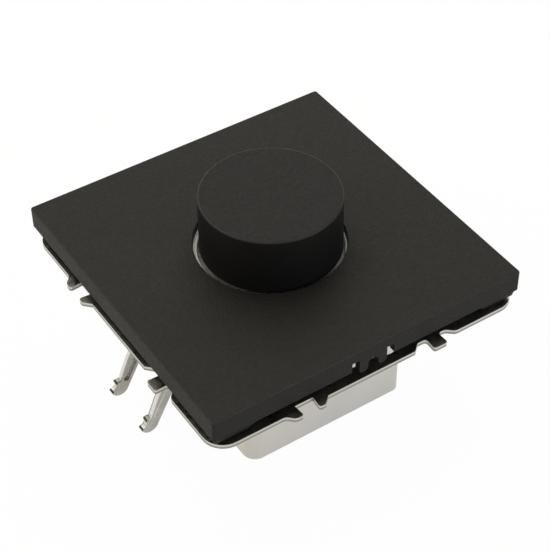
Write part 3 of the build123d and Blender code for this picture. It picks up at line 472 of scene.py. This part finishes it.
# A bead is a flattened rod with round ends, half sunk in the prong's outer face.
bead_segments = 24
bead_rings = 12
bead_across = 0.00005
bead_along = 0.011475
outer_face = 0.0067
bead_sizes = {"Half Width": 0.00065, "Height": 0.00028, "Half Length": 0.00682, "Tilt": claw_spread}
tree, given = nodes_with("pressed_bead", **bead_sizes)
ball = add(tree, "GeometryNodeMeshUVSphere", {"Segments": bead_segments, "Rings": bead_rings,
                                              "Radius": given["Half Width"]})
spot = add(tree, "GeometryNodeInputPosition", {}).outputs[0]
end = add(tree, "ShaderNodeSeparateXYZ", {0: spot}).outputs["Z"]
end = add(tree, "ShaderNodeMath", {0: end}, operation="SIGN").outputs[0]
end_shift = sums(tree, "MULTIPLY", end, given["Half Length"])
drawn_out = add(tree, "ShaderNodeCombineXYZ", {"Z": end_shift}).outputs[0]
rod = add(tree, "GeometryNodeSetPosition", {"Geometry": ball.outputs[0], "Offset": drawn_out})
flatness = add(tree, "ShaderNodeCombineXYZ", {
    "X": 1.0, "Y": sums(tree, "DIVIDE", given["Height"], given["Half Width"]), "Z": 1.0}).outputs[0]
rod = add(tree, "GeometryNodeTransform", {"Geometry": rod.outputs[0], "Scale": flatness})
lean = add(tree, "ShaderNodeCombineXYZ", {"Y": given["Tilt"]}).outputs[0]
close_tree(tree, given, rod.outputs[0], lean)
bead_reach = claw_pivot[0] + bead_across * inward[0] + bead_along * downward[0]
bead_level = -claw_pivot[1] - bead_across * inward[2] - bead_along * downward[2]
for side, sign in (("left", -1), ("right", 1)):
    bead_sizes["Tilt"] = -sign * claw_spread
    bead_places = [(sign * bead_reach, y, bead_level) for y in (-outer_face, outer_face)]
    beads = grown("claw_beads_" + side, tree, bead_places, claw_steel, bead_sizes)
    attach(beads, "claw_" + side)

dress(zinc_plate, "claw_nut_left", "claw_nut_right")
claw_screw_sizes = {"Head": 0.00315, "Head Height": 0.0022, "Rounding": 0.0003, "Shank": 0.00175,
                    "Length": 0.0100, "Pitch": 0.0006, "Depth": 0.0003, "Slots": 1,
                    "Slot Width": 0.0010, "Slot Length": 0.008, "Slot Depth": 0.0011, "Turn": 0.0}
for side in ("left", "right"):
    low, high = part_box("claw_screw_" + side)
    seat = ((low[0] + high[0]) / 2, 0.0, high[2] - claw_screw_sizes["Head Height"])
    screw = grown("slotted_claw_screw_" + side, machine_screw, [seat], zinc_plate, claw_screw_sizes)
    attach(screw, "claw_screw_" + side)
    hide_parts("claw_screw_" + side)

# Housing lid: the white polycarbonate cover on the frame, whose ring carries the plate and guides the knob.
# Four cross-recessed screws draw it down on the frame and into the housing's bosses.
dress(moulded("polycarbonate_white", "#e2e2de", "#ececea", 0.35, 0.3, 0.004), "housing_lid")
housing_screw_sizes = {"Head": 0.0025, "Head Height": 0.0018, "Rounding": 0.0006, "Shank": 0.00125,
                       "Length": 0.0110, "Pitch": 0.0010, "Depth": 0.0003, "Slots": 2,
                       "Slot Width": 0.0007, "Slot Length": 0.0029, "Slot Depth": 0.0010, "Turn": 0.0}
low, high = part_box("housing_screws")
screw_x = high[0] - housing_screw_sizes["Head"]
screw_y = high[1] - housing_screw_sizes["Head"]
lid_face = high[2] - housing_screw_sizes["Head Height"]
screw_places = [(x, y, lid_face) for x in (-screw_x, screw_x) for y in (-screw_y, screw_y)]
housing_screws = grown("cross_housing_screws", machine_screw, screw_places, zinc_plate, housing_screw_sizes)
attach(housing_screws, "insert")
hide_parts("housing_screws")

# Cover plate: the square front, moulded in black thermoplastic with a fine spark-eroded skin.
# It snaps over the lid's ring, and its skirt ends just above the frame.
# The skin's grain is drawn 0.5 mm wide, coarser than the real one, so that it shows.
# Its edges are painted paler: a little rubbing wear and a painted highlight along the arris.
dress(moulded("matt_black_plate", "#1a1916", "#1f1e1b", 0.6, 0.5, 0.16, 9.0, 1.3, "#34332f"),
      "cover_plate")

# Control knob: a drafted cap with a skin like the plate's, gripping the spindle with a split hub.
# Its rim is a little smoother from fingers and painted paler as a highlight, and its grain is drawn as
# coarse as the plate's.
dress(moulded("matt_black_knob", "#0b0a0a", "#0f0e0d", 0.58, 0.5, 0.08, 9.0, 1.31, "#2a2927"),
      "control_knob")

# Floor and light: a white table, a large soft light from behind and above, and weaker ones from the left
# and the front right. The camera sees the table nearly white, with a trace of its own shade that keeps
# the shadow, and reflections see it half white.
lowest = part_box("housing_base")[0].z
floor_half = 1.5
fibre_mm = 2.5
sky_strength = 0.35
white_shares = {"Is Camera Ray": 0.97, "Is Glossy Ray": 0.45, "Is Transmission Ray": 0.45}
floor_mesh = bpy.data.meshes.new("floor")
floor_mesh.from_pydata([(-floor_half, -floor_half, lowest), (floor_half, -floor_half, lowest),
                        (floor_half, floor_half, lowest), (-floor_half, floor_half, lowest)],
                       [], [(0, 1, 2, 3)])
floor = bpy.data.objects.new("floor", floor_mesh)
bpy.context.scene.collection.objects.link(floor)

paper, tree, piece = blank("white_paper")
fibre = add(tree, "ShaderNodeTexNoise", {"Vector": piece.outputs["Object"], "Scale": 1000 / fibre_mm})
paper_tone = add(tree, "ShaderNodeMix", {0: fibre.outputs[0], 6: linear("#f2f2f0"), 7: linear("#f7f7f5")},
                 data_type="RGBA")
matt = add(tree, "ShaderNodeBsdfDiffuse", {"Color": paper_tone.outputs[2]})
glow = add(tree, "ShaderNodeEmission", {"Color": (1, 1, 1, 1), "Strength": 1.0})
path = add(tree, "ShaderNodeLightPath", {})
white_share = 0.0
for ray, share in white_shares.items():
    white_share = add(tree, "ShaderNodeMath", {0: path.outputs[ray], 1: share, 2: white_share},
                      operation="MULTIPLY_ADD").outputs[0]
top_side = add(tree, "ShaderNodeMixShader", {0: white_share, 1: matt.outputs[0], 2: glow.outputs[0]})
below = add(tree, "ShaderNodeNewGeometry", {})
clear = add(tree, "ShaderNodeBsdfTransparent", {})
surface = add(tree, "ShaderNodeMixShader", {0: below.outputs["Backfacing"], 1: top_side.outputs[0],
                                            2: clear.outputs[0]})
add(tree, "ShaderNodeOutputMaterial", {"Surface": surface.outputs[0]})
floor_mesh.materials.append(paper)

world = bpy.data.worlds.new("studio")
world.use_nodes = True
bpy.context.scene.world = world
tree = world.node_tree
tree.nodes.clear()
dim = add(tree, "ShaderNodeBackground", {"Color": (1, 1, 1, 1), "Strength": sky_strength})
white = add(tree, "ShaderNodeBackground", {"Color": (1, 1, 1, 1), "Strength": 1.0})
camera_ray = add(tree, "ShaderNodeLightPath", {}).outputs["Is Camera Ray"]
sky = add(tree, "ShaderNodeMixShader", {0: camera_ray, 1: dim.outputs[0], 2: white.outputs[0]})
add(tree, "ShaderNodeOutputWorld", {"Surface": sky.outputs[0]})


def soft_light(name, place, size, energy, colour):
    """A square soft light that faces the object's middle."""
    lamp = bpy.data.lights.new(name, "AREA")
    lamp.color = linear(colour)[:3]
    lamp.shape = "SQUARE"
    lamp.size = size
    lamp.energy = energy
    light = bpy.data.objects.new(name, lamp)
    light.location = place
    light.rotation_euler = (-Vector(place)).to_track_quat("-Z", "Y").to_euler()
    bpy.context.scene.collection.objects.link(light)


soft_light("overhead", (0.16, 0.37, 0.55), 0.9, 4.2, "#fffbee")
soft_light("left", (-0.5, 0.15, 0.4), 0.4, 1.2, "#fff4e2")
soft_light("front", (0.3, -0.6, 0.2), 0.4, 1.0, "#ffffff")
bpy.context.scene.view_settings.view_transform = "Standard"

# Camera: the photograph's viewpoint, found by fitting the plate, frame, claws and knob to it.
# Its lens is shifted, because the fitted axis lies a little off the picture's middle.
camera_place = (-0.12583, -0.19576, 0.21976)
camera_turn = Vector((2.246503, -0.685348, 0.29078))
lens_mm = 103.755
sensor_mm = 36.0
lens = bpy.data.cameras.new("camera")
lens.sensor_width = sensor_mm
lens.lens = lens_mm
lens.shift_x = -0.03003
lens.shift_y = -0.0025
lens.clip_start = 0.01
lens.clip_end = 10.0
camera = bpy.data.objects.new("camera", lens)
to_camera = Matrix.Rotation(camera_turn.length, 3, camera_turn)
flip = Matrix(((1, 0, 0), (0, -1, 0), (0, 0, -1)))
camera.matrix_world = Matrix.Translation(camera_place) @ (flip @ to_camera).transposed().to_4x4()
bpy.context.scene.collection.objects.link(camera)
bpy.context.scene.camera = camera
